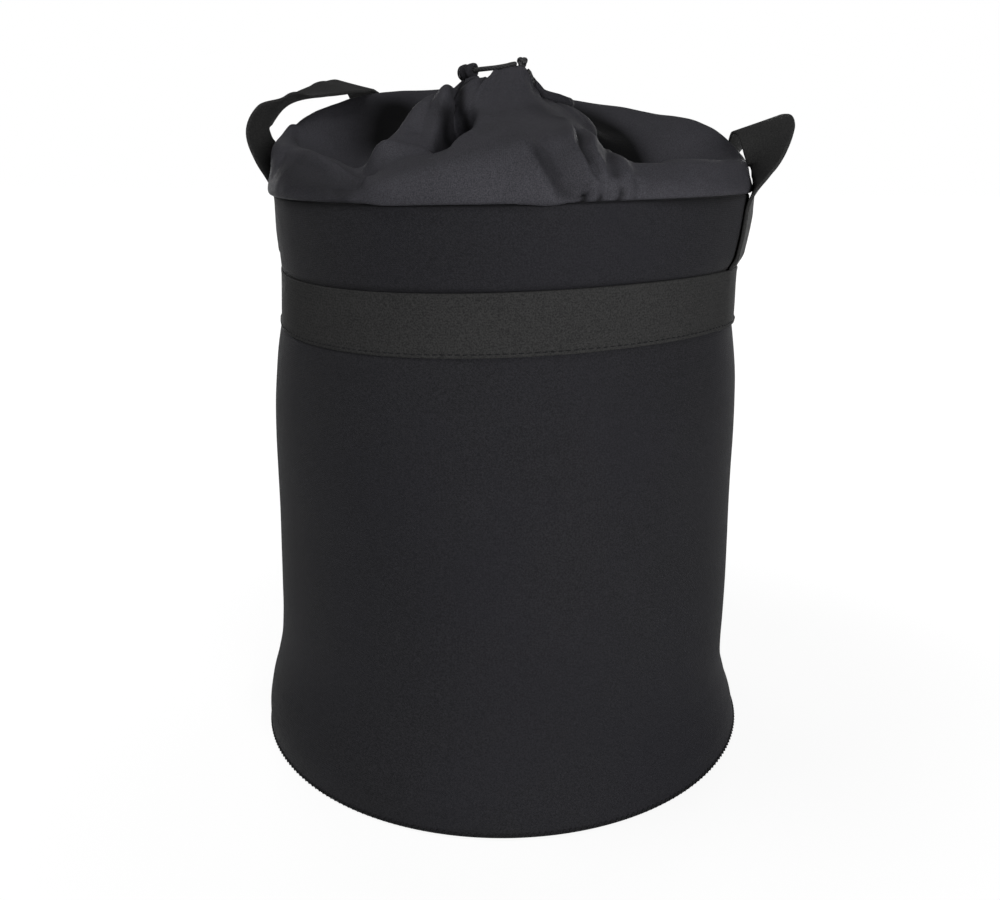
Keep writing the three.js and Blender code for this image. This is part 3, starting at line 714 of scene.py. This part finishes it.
collar = {
    "mouthRise": 61, "mouthHalfWidth": 25, "mouthHalfDepth": 16, "mouthShift": 4,
    "hemHeight": 7, "hemThickness": 5, "thickness": 0.7, "bearings": 720, "steps": 190,
    "arcRadius": 80, "seamInset": 1.6, "seamLift": 0.35, "bowlRadius": 0.6, "neckRadius": 0.36,
    # how far the cloth hangs over the rim: everywhere, and more at the front and the left
    "overhang": {"least": 0.5, "front": 1.1, "left": 1.5},
    # without a tunnel the upper edge reaches up to the cord, and sags beside that:
    # lift, bearings where it starts, and where it ends
    "edgeLifts": [
        (2.8, (-117, -111), (-77, -71)), (2, (-77, -71), (-20, 20)), (-1, (-136, -130), (-119, -114))],
    # bearing seen from the camera, then shares: crest height and radius, bowl, neck and mouth heights
    "rows": [
        (-180, 0.39, 0.985, 0.2, 0.56, 0.95), (-163, 0.34, 0.95, 0.08, 0.42, 0.955),
        (-152, 0.305, 0.925, 0.12, 0.48, 0.955), (-143, 0.262, 0.91, 0.3, 0.72, 0.96),
        (-134, 0.222, 0.91, 0.4, 0.78, 0.965), (-122, 0.215, 0.9, 0.38, 0.72, 0.97),
        (-112, 0.27, 0.87, 0.32, 0.62, 0.975), (-102, 0.35, 0.85, 0.45, 0.64, 0.985),
        (-90, 0.39, 0.84, 0.52, 0.67, 1), (-80, 0.385, 0.84, 0.52, 0.68, 0.98),
        (-72, 0.36, 0.845, 0.5, 0.67, 0.87), (-66, 0.315, 0.86, 0.46, 0.65, 0.825),
        (-61.5, 0.255, 0.875, 0.43, 0.63, 0.79), (-56, 0.25, 0.89, 0.38, 0.61, 0.775),
        (-49, 0.25, 0.9, 0.31, 0.59, 0.765), (-40, 0.25, 0.92, 0.12, 0.58, 0.755),
        (-28, 0.245, 0.94, 0.02, 0.53, 0.74),
        (-15, 0.235, 0.965, 0.02, 0.34, 0.73), (0, 0.28, 0.985, 0.1, 0.38, 0.72),
        (18, 0.5, 0.96, 0.32, 0.5, 0.72), (45, 0.635, 0.92, 0.5, 0.57, 0.73),
        (70, 0.75, 0.905, 0.58, 0.62, 0.75), (90, 0.82, 0.9, 0.62, 0.66, 0.78),
        (130, 0.81, 0.92, 0.57, 0.68, 0.83), (152, 0.69, 0.93, 0.38, 0.66, 0.92),
        (168, 0.545, 0.95, 0.25, 0.62, 0.94)],
    # places (bearing, share of the way up), height, widths below or left and above or right, sharpness
    "folds": [
        ([(-19, 0.97), (-26, 0.88), (-30, 0.81)], 1.5, 6, 3.5, 2),
        ([(-61, 0.3), (-64, 0.2), (-66, 0.12)], 0.8, 3, 2.5, 2),
        ([(-12, 0.84), (-21.5, 0.742), (-31.5, 0.608), (-41.5, 0.497), (-48.5, 0.413), (-53.5, 0.345)],
         -9, 6, 9, 2),
        ([(-45, 0.46), (-50, 0.413), (-55, 0.36), (-59.5, 0.315)], -3.5, 4, 5, 2),
        ([(-65.9, 0.611), (-70, 0.48), (-74.8, 0.325), (-75.5, 0.216), (-75.1, 0.132), (-74.2, 0.081)],
         2, 3.6, 2.2, 1.9),
        ([(-57, 0.595), (-64, 0.44), (-70.8, 0.265), (-71.6, 0.168), (-72.1, 0.115)], 1.8, 1.8, 2.2, 1.9),
        ([(-62, 0.6), (-67, 0.47), (-72.6, 0.3), (-73.4, 0.19), (-73.4, 0.12)], -2.4, 2.2, 2, 2),
        ([(-52, 0.56), (-58, 0.44), (-67, 0.25), (-69, 0.12)], -1.4, 2.4, 2.4, 2),
        ([(-86, 0.25), (-85.5, 0.17), (-84.5, 0.11), (-83, 0.07)], 2, 9, 1.8, 1.8),
        ([(-81, 0.24), (-80, 0.15), (-79, 0.07)], -2.5, 4, 6, 2),
        ([(-123, 0.06), (-108, 0.12), (-96, 0.18), (-86, 0.22)], 1.5, 8, 8, 2),
        ([(-150, 0.97), (-135, 0.88), (-124, 0.8), (-119, 0.755), (-115, 0.71), (-110.5, 0.65), (-107, 0.58)],
         -8, 3, 3, 1.8),
        ([(-120, 0.92), (-112, 0.8), (-107, 0.68), (-103, 0.58)], 1.6, 3, 6, 2),
        ([(-117, 0.66), (-113, 0.56), (-110, 0.46)], -8, 7, 7, 2),
        ([(-150, 0.86), (-143, 0.72), (-137, 0.58), (-130, 0.42), (-124, 0.3)], 3, 5, 7, 2),
        ([(-126, 0.17), (-133, 0.27), (-141, 0.36), (-151, 0.47), (-161, 0.62), (-168, 0.75)], -6, 7, 8, 2),
        ([(-140, 0.82), (-134, 0.68), (-128, 0.55)], -2, 3.5, 3.5, 2),
        ([(-131, 0.84), (-125, 0.7), (-121, 0.58), (-118, 0.5)], 2.2, 3, 3, 1.8),
        ([(-127, 0.3), (-121, 0.34), (-116, 0.38)], 3.5, 5, 3.5, 2),
        ([(-109, 0.26), (-106, 0.32)], -1.5, 5, 5, 2),
        ([(-104, 0.34), (-101, 0.45), (-99, 0.58)], 1.5, 4, 3, 2),
        ([(172, 0.25), (180, 0.25), (195, 0.25), (209, 0.243), (221, 0.217), (232, 0.185), (238, 0.14)],
         1.8, 4, 2.5, 1.8),
        ([(200, 0.16), (212, 0.17), (223, 0.14), (232, 0.1), (237, 0.08)], -3, 8, 8, 2),
        ([(-76.5, 0), (-76, 0.05)], -2, 1.8, 1.8, 1.6), ([(-72.5, 0), (-72, 0.06)], -1.6, 1.8, 1.8, 1.6),
        ([(-69, 0.01), (-68, 0.06)], -1.4, 1.6, 1.6, 1.6), ([(-65, 0.02), (-64, 0.09)], -1.6, 2, 2, 1.6),
        ([(-60, 0.2), (-53, 0.2), (-43, 0.16), (-34, 0.14), (-21, 0.13), (-8, 0.14)], 0.5, 4, 3, 2),
    ],
    # painted shade in deep folds, where little light gets in: places, share lost, widths, sharpness
    "paintedFoldShade": [
        ([(72, 0.5), (57, 0.56), (41, 0.645), (24, 0.69), (8, 0.66), (-6, 0.6)], 0.95, 34, 9, 2),
        ([(38, 0.7), (15, 0.8), (9, 0.76), (2, 0.7)], 0.9, 12, 12, 2),
        ([(149, 0.64), (143, 0.62), (138, 0.573), (135, 0.535)], 1, 14, 14, 2),
        ([(152, 0.6), (148, 0.49), (146, 0.4)], 0.45, 14, 20, 2),
        ([(-122, 0.68), (-118, 0.62), (-113, 0.6)], 0.8, 5, 5, 2),
        ([(-125.5, 0.85), (-119.5, 0.8), (-116, 0.757), (-113, 0.72), (-109, 0.62)], 0.85, 2.5, 2.5, 2),
        ([(-165, 0.97), (-145, 0.94), (-130, 0.9)], 0.6, 4, 4, 2),
        ([(-85, 0.17), (-83.4, 0.132), (-81.8, 0.077), (-80.5, 0.05)], 0.42, 2, 7, 2),
        ([(-158, 0.115), (-146.8, 0.09), (-139.2, 0.074), (-131, 0.063), (-126, 0.05)], 0.4, 4, 5, 2),
        ([(-74, 0.69), (-71, 0.64), (-67, 0.6)], 0.25, 7, 7, 2),
        ([(-62, 0.58), (-67, 0.45), (-72.6, 0.3), (-73.2, 0.19)], 0.5, 2, 2, 2),
        ([(-54, 0.52), (-66, 0.24), (-68.5, 0.12)], 0.45, 2.4, 2.4, 2),
        ([(-76.3, 0), (-76, 0.035)], 0.8, 1.6, 1.6, 2), ([(-73.5, 0), (-73, 0.03)], 0.8, 1.6, 1.6, 2),
        ([(-69, 0), (-68.5, 0.05)], 0.6, 1.8, 1.8, 2),
        ([(209, 0.17), (220, 0.16), (230, 0.15)], 0.35, 7, 7, 2),
    ],
    # the last entry caps the painted shade in the folds
    "crumple": 0.35, "pucker": 0.12, "pleat": 1.1, "evenPleat": 0.3, "mostPaintedShade": 0.97,
}


def collarShare(column, bearing):
    # one column of the table, smooth all the way round
    rows = np.array(collar["rows"])
    rows = np.vstack([rows[-2:], rows, rows[:2]])
    rows[:2, 0] -= 360
    rows[-2:, 0] += 360
    return curveThrough(rows[:, 0], rows[:, column], (bearing + 180) % 360 - 180)


def hemPoint(bearing, lift):
    x = collar["mouthShift"] + collar["mouthHalfWidth"] * np.cos(bearing * degree)
    y = collar["mouthHalfDepth"] * np.sin(bearing * degree)
    z = wall["height"] + collar["mouthRise"] * collarShare(5, bearing) - collar["hemHeight"] / 2 + lift
    c, s = math.cos(cameraTurn * degree), math.sin(cameraTurn * degree)
    return np.stack([x * c - y * s, x * s + y * c, z], -1)


def throughPoints(rows, steps):
    # centripetal curve through rows of points, one curve for each bearing, evenly spaced
    ends = [2 * rows[0] - rows[1], *rows, 2 * rows[-1] - rows[-2]]
    samples = []
    for i in range(len(rows) - 1):
        p0, p1, p2, p3 = ends[i:i + 4]
        k01, k12, k23 = (
            np.sqrt(np.linalg.norm(b - a, axis=-1, keepdims=True)) for a, b in ((p0, p1), (p1, p2), (p2, p3)))
        slope1 = (p1 - p0) / k01 - (p2 - p0) / (k01 + k12) + (p2 - p1) / k12
        slope2 = (p2 - p1) / k12 - (p3 - p1) / (k12 + k23) + (p3 - p2) / k23
        t = np.linspace(0, 1, 41)[:-1 if i < len(rows) - 2 else None, None, None]
        rest = 1 - t
        level = rest * rest * (1 + 2 * t) * p1 + t * t * (3 - 2 * t) * p2
        samples.append(level + rest * t * k12 * (rest * slope1 - t * slope2))
    lines = np.concatenate(samples).transpose(1, 0, 2)
    lengths = [lengthsAlong(line) for line in lines]
    spaced = [
        np.stack([np.interp(np.linspace(0, length[-1], steps), length, axis) for axis in line.T], -1)
        for line, length in zip(lines, lengths)]
    return np.array(spaced), np.mean([length[-1] for length in lengths])


def collarSurface(bearings, steps):
    # middle of the cloth: one row for each bearing, from the rim to the hem
    turned = bearings + cameraTurn
    top, rim, rise = wall["height"], wall["rimRadius"], collar["mouthRise"]
    crest = rise * collarShare(1, bearings)
    wave = wall["rimWave"] * waveOfEdges(turned)
    foot = top + collar["seamLift"] + wave
    edge = sum(
        lift * smooth(*start, bearings) * fade(*end, bearings) for lift, start, end in collar["edgeLifts"])
    hang = collar["overhang"]
    overhang = hang["least"] + hang["front"] * np.exp(-((bearings + 82) / 30) ** 2)
    overhang = overhang + hang["left"] * smooth(-0.2, 1, np.cos((bearings - 190) * degree))
    rows = [
        around(turned, rim - collar["seamInset"], foot),
        around(turned, rim + overhang, foot + 0.6),
        around(turned, rim + overhang * 0.6, top + crest * 0.42 + wave * 0.5),
        around(turned, rim * collarShare(2, bearings), top + crest),
        around(turned, rim * collar["bowlRadius"], top + rise * collarShare(3, bearings)),
        around(turned, rim * collar["neckRadius"], top + rise * collarShare(4, bearings)),
        hemPoint(bearings, edge - collar["hemHeight"] / 2 - 0.4)]
    for k, share in enumerate((1, 1, 0.8, 0.5)):
        rows[k] = rows[k] + share * leanAt(top)
    return throughPoints(rows, steps)


def onSurface(surface, bearings, shares):
    # places on the cloth from bearings and shares of the way up
    count, steps = surface.shape[:2]
    i = ((bearings + 180) % 360) / 360 * count
    j = np.clip(shares, 0, 1) * (steps - 1)
    i0, j0 = np.floor(i).astype(int) % count, np.minimum(np.floor(j).astype(int), steps - 2)
    i1, s, t = (i0 + 1) % count, (i % 1)[:, None], (j - j0)[:, None]
    low = mix(surface[i0, j0], surface[i1, j0], s)
    return mix(low, mix(surface[i0, j0 + 1], surface[i1, j0 + 1], s), t)


def surfaceNormals(surface):
    return unit(np.cross(np.roll(surface, -1, 0) - np.roll(surface, 1, 0), np.gradient(surface, axis=1)))


def foldHeight(surface, normals, fold):
    # how far one fold lifts each place of the cloth
    places, height, widthBefore, widthAfter, sharpness = fold
    places = np.array(places)
    at = np.linspace(0, 1, 4 * len(places))
    rows = np.linspace(0, 1, len(places))
    line = onSurface(surface, curveThrough(rows, places[:, 0], at), curveThrough(rows, places[:, 1], at))
    nearest = np.full(surface.shape[:2], 1e9)
    side = np.zeros(surface.shape[:2])
    for start, end in zip(line[:-1], line[1:]):
        run = end - start
        off = surface - start
        t = np.clip(off @ run / (run @ run), 0, 1)
        off = off - t[..., None] * run
        distance = np.linalg.norm(off, axis=-1)
        closer = distance < nearest
        nearest = np.where(closer, distance, nearest)
        side = np.where(closer, np.sum(np.cross(unit(run), off) * normals, -1), side)
    width = mix(widthBefore, widthAfter, smooth(-1.2, 1.2, side))
    return height * np.exp(-((nearest / width) ** sharpness))


def foldedCloth(bearings):
    # the collar with its folds, gathers and light crumple, and how much painted shade each place gets in the
    # deep folds
    surface, length = collarSurface(bearings, collar["steps"])
    up = np.linspace(0, 1, collar["steps"])
    seen, turn = bearings[:, None], bearings[:, None] * degree
    normals = surfaceNormals(surface)
    lift = sum(foldHeight(surface, normals, fold) for fold in collar["folds"])
    lift = lift * smooth(0, 0.03, up) * fade(0.93, 1, up)
    # gathers: pleats that start at the hem and die out down the neck
    pleats = np.cos(26 * turn + 1.4 * np.sin(3 * turn)) * 0.8
    pleats = pleats + np.cos(41 * turn + 2 * np.sin(2 * turn + 1)) * 0.5
    strong = np.exp(-((seen + 140) / 22) ** 2) - 0.16 * np.exp(-((seen + 98) / 16) ** 2)
    lift = lift + pleats * (collar["evenPleat"] + collar["pleat"] * strong) * smooth(0.7, 0.97, up)
    # puckers where the cloth is sewn to the rim, and a light crumple all over
    puckers = np.cos(58 * turn + 3 * np.sin(5 * turn)) * 0.5 + np.cos(33 * turn + 1) * 0.5
    lift = lift + collar["pucker"] * puckers * smooth(0.01, 0.05, up) * fade(0.06, 0.22, up)
    x, y, z = surface[..., 0], surface[..., 1], surface[..., 2]
    crumple = waves(21, 11, 0.04, 0.16, x, y, z) + 0.16 * waves(22, 11, 0.2, 0.4, x, y, z)
    lift = lift + collar["crumple"] * crumple * smooth(0.02, 0.1, up)
    surface = surface + normals * lift[..., None]
    # painted shade, strongest along the deep folds
    paintedShade = sum(foldHeight(surface, normals, painted_shade) for painted_shade in collar["paintedFoldShade"])
    return surface, np.minimum(paintedShade, collar["mostPaintedShade"]), length


def makeCollar():
    bearings = np.linspace(-180, 180, collar["bearings"], endpoint=False)
    surface, paintedShade, length = foldedCloth(bearings)
    half = surfaceNormals(surface) * collar["thickness"] / 2
    rings = np.concatenate([surface + half, (surface - half)[:, ::-1]], 1)
    run = np.linspace(0, 1, collar["steps"])
    across = length * np.concatenate([run, run[::-1], [0]])
    along = np.append(bearings, 180) * degree * collar["arcRadius"]
    piece = skin("collar_cloth", rings, across, along, True)
    # the painted shade, the same on both faces of the cloth
    markPaintedShade(piece, np.concatenate([paintedShade, paintedShade[:, ::-1]], 1))
    return dress(piece, "nylon", None, "collar")


hem = {
    "openingFrom": -138, "openingTo": -72, "steps": 260, "sides": 20, "pleats": 24, "play": 0.5,
    "knot": -84, "knotLift": 0.9, "knotSize": 1.6, "cord": 2.2, "reach": 5.5, "cordSteps": 220,
    # the last entry is the share of painted shade over the whole tunnel
    "rim": 24, "shade": 0.45,
}


def makeHem():
    bearings = np.linspace(hem["openingTo"], hem["openingFrom"] + 360, hem["steps"])
    centre = hemPoint(bearings, 0)
    outward = unit((centre - hemPoint(bearings + 180, 0)) * [1, 1, 0])
    turn = 2 * math.pi * np.arange(hem["sides"]) / hem["sides"]
    phase = hem["pleats"] * bearings * degree
    pleat = np.cos(phase + 1.2 * np.sin(3 * bearings * degree))
    full = smooth(-30, 30, bearings)  # the tunnel is slim at the front right
    wide = collar["hemThickness"] / 2 * (0.76 + (0.04 + 0.12 * full) * pleat)
    high = collar["hemHeight"] / 2 * (0.64 + 0.29 * full + 0.06 * full * np.roll(pleat, 3))
    lean = 0.25 * full * np.sin(phase + 1.5)
    bore = np.full(len(bearings), hem["cord"] / 2 + hem["play"])

    def oval(halfWide, halfHigh, lean):
        off = halfWide[:, None] * np.cos(turn) + lean[:, None] * np.sin(turn)
        place = centre[:, None] + outward[:, None] * off[..., None]
        place[..., 2] += halfHigh[:, None] * np.sin(turn)
        return place
    # along the outside, then back through the bore
    rings = np.concatenate([oval(wide, high, lean), oval(bore, bore, 0 * bore)[::-1]]).transpose(1, 0, 2)
    length = lengthsAlong(centre)
    across = np.concatenate([length, length[::-1], length[:1]])
    piece = skin("hem_tunnel", rings, across, np.linspace(0, hem["rim"], hem["sides"] + 1), True, True)
    # painted shade: the whole tunnel darkened evenly, for the shadow in its crumples
    markPaintedShade(piece, np.full(rings.shape[:2], hem["shade"]))
    dress(piece, "nylon", "mouth", "drawstring_channel")


def makeDrawstring():
    bearings = np.linspace(
        hem["knot"] + hem["reach"], hem["knot"] + 360 - hem["reach"], hem["cordSteps"])
    piece = tube("mouth_cord", hemPoint(bearings, 0), hem["cord"] / 2, 12)
    dress(piece, "cord", "mouth", "drawstring")
    t = np.linspace(0, 2 * math.pi, 120, endpoint=False)
    knot = hem["knotSize"] / 3 * np.stack([
        np.sin(t) + 2 * np.sin(2 * t), -1.2 * np.sin(3 * t), np.cos(t) - 2 * np.cos(2 * t)], -1)
    piece = tube("cord_knot", knot + hemPoint(hem["knot"], hem["knotLift"]), hem["cord"] / 2, 10, True)
    dress(piece, "cord", "mouth", "drawstring_knot")


collarPiece = makeCollar()
makeHem()
makeDrawstring()
print("collar and mouth made")

tapes = {
    "thickness": 0.8, "bindingHeight": 12, "seamWidth": 16, "gap": 0.55, "seamGap": 0.4, "seamFoot": 5.6,
    "bearings": 240, "heights": 90, "arcRadius": 104,
}
seam = {"pitch": 2.6, "low": 6, "length": 248, "halfWidth": 2.1, "thread": 0.3}


def makeTapes():
    # the binding inside the rim, and the tape over the tube's seam
    inset = wall["thickness"] + tapes["gap"] + tapes["thickness"] / 2
    low = wall["height"] - tapes["bindingHeight"]
    outline = strapOutline(tapes["bindingHeight"], tapes["thickness"], 8)
    heights = low + tapes["bindingHeight"] / 2 + outline[:, 0]
    rings = wallPoint(wholeTurn(tapes["bearings"])[:, None], heights, outline[:, 1] - inset)
    lengths = turnLengths(tapes["bearings"], tapes["arcRadius"])
    dress(skin("rim_binding_tape", rings, girth(outline), lengths, True), "tape", "pouch", "rim_binding")
    outline = strapOutline(tapes["seamWidth"], tapes["thickness"], 8)
    heights = np.linspace(tapes["seamFoot"], low - tapes["seamGap"], tapes["heights"])
    bearings = wall["seamBearing"] + outline[:, 0] / (tapes["arcRadius"] * degree)
    rings = wallPoint(bearings, heights[:, None], outline[:, 1] - inset)
    dress(skin("inner_seam_tape", rings, girth(outline), heights, False), "tape", "pouch", "back_seam_tape")


def makeBackStitches():
    # zigzag over the tube's seam, left out where the band covers it
    lines = []
    pitch = seam["pitch"]
    t = np.linspace(-1, 1, 6)
    for k in range(int(seam["length"] / pitch)):
        z = seam["low"] + pitch * k
        if not band["top"] - band["width"] - 2 < z < band["top"] + 3 - pitch:
            way = 1 if k % 2 else -1
            bearing = wall["seamBearing"] + way * t * seam["halfWidth"] / (wall["arcRadius"] * degree)
            off = 0.12 - 0.2 * t * t + 0.5 * np.exp(-(t * 1.5) ** 2)
            lines.append(wallPoint(bearing, z + pitch * (t + 1) / 2, off))
    dress(stitchRow("back_seam_stitches", lines, seam["thread"]), "thread", "pouch")


makeTapes()
makeBackStitches()

# the loops and the collar get their placement baked into their meshes
hinge = {"radius": 109.4, "from": 222.6, "to": 238.9}
for side, piece in loopPieces.items():
    start, end = (
        tuple((around(loopSides[side]["bearing"], hinge["radius"], hinge[key]) * mm).tolist())
        for key in ("from", "to"))
    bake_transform(piece)
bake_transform(collarPiece)

studio = {
    "floorSize": 6, "ambient": 0.06, "shine": 0.06, "floorGlow": 1.06, "floorShare": 0.85,
    "floorFade": (0.16, 0.45), "lampAim": 0.2,
    "lamps": [  # name, bearing from the front, height angle, distance, size, level on a facing surface
        ("key", 34, 9, 1.3, 0.7, 0.92), ("fill", -20, 10, 1.5, 0.9, 0.02), ("high", -66, 60, 1.4, 0.7, 0.45),
        ("left_edge", -140, 6, 1.2, 0.6, 0.4), ("right_edge", 165, 6, 1.2, 0.6, 0.36)],
}


def makeFloor():
    size = studio["floorSize"] / mm
    corners = [(-size, -size, 0), (size, -size, 0), (size, size, 0), (-size, size, 0)]
    floor = makePiece("floor", corners, [[0, 1, 2, 3]])
    finish = Finish(bpy.data.materials.new("studio_floor"))
    finish.set(colour=(0.8, 0.8, 0.8), roughness=0.6, shine=0.2)
    path = finish.node("ShaderNodeLightPath", {}, {}, "Is Camera Ray")
    glow = finish.node("ShaderNodeEmission", {}, {"Color": (1, 1, 1), "Strength": studio["floorGlow"]})
    place = finish.node("ShaderNodeTexCoord", {}, {}, "Object")
    away = finish.node("ShaderNodeVectorMath", {"operation": "LENGTH"}, {0: place}, "Value")
    near, far = studio["floorFade"]
    share = path * finish.node(
        "ShaderNodeMapRange", {"interpolation_type": "SMOOTHSTEP"},
        {"Value": away, "From Min": near, "From Max": far, "To Min": studio["floorShare"], "To Max": 1.0},
        "Result")
    shader = Value(finish, finish.tree.nodes["Principled BSDF"].outputs[0])
    cover = finish.node("ShaderNodeMixShader", {}, {0: share, 1: shader, 2: glow})
    finish.put(finish.tree.nodes["Material Output"].inputs["Surface"], cover)
    floor.data.materials.append(finish.holder)


def makeWorld():
    world = bpy.data.worlds.new("studio")
    finish = Finish(world)
    bpy.context.scene.world = world
    camera, through, glossy = (
        finish.node("ShaderNodeLightPath", {}, {}, f"Is {kind} Ray")
        for kind in ("Camera", "Transmission", "Glossy"))
    seen = glossy * studio["shine"] + finish.maths("MAXIMUM", camera, through)
    level = finish.node(
        "ShaderNodeMapRange", {}, {"Value": seen, "To Min": studio["ambient"], "To Max": 1.0}, "Result")
    background = finish.tree.nodes["Background"]
    finish.put(background.inputs["Color"], (1, 1, 1))
    finish.put(background.inputs["Strength"], level)


def makeLamp(name, bearing, height, distance, size, level):
    light = bpy.data.lights.new(name, "AREA")
    light.shape = "DISK"
    light.size = size
    light.energy = level * (math.pi * distance) ** 2
    lamp = addObject(name, light)
    height *= degree
    lamp.location = around(
        bearing - 90, distance * math.cos(height), studio["lampAim"] + distance * math.sin(height))
    lamp.rotation_euler = (math.pi / 2 - height, 0, bearing * degree)


makeFloor()
makeWorld()
for lamp in studio["lamps"]:
    makeLamp(*lamp)

view = {"place": (0.1172, -0.4881, 0.2766), "pitch": 9.81, "lens": 37.98, "shift": (-0.0076, -0.12)}
camera = bpy.data.cameras.new("camera")
camera.lens = view["lens"]
camera.sensor_width = 36
camera.shift_x, camera.shift_y = view["shift"]
cameraObject = addObject("camera", camera)
cameraObject.location = view["place"]
cameraObject.rotation_euler = ((90 - view["pitch"]) * degree, 0, cameraTurn * degree)
bpy.context.scene.camera = cameraObject
bpy.context.scene.view_settings.view_transform = "Standard"
print("studio ready")
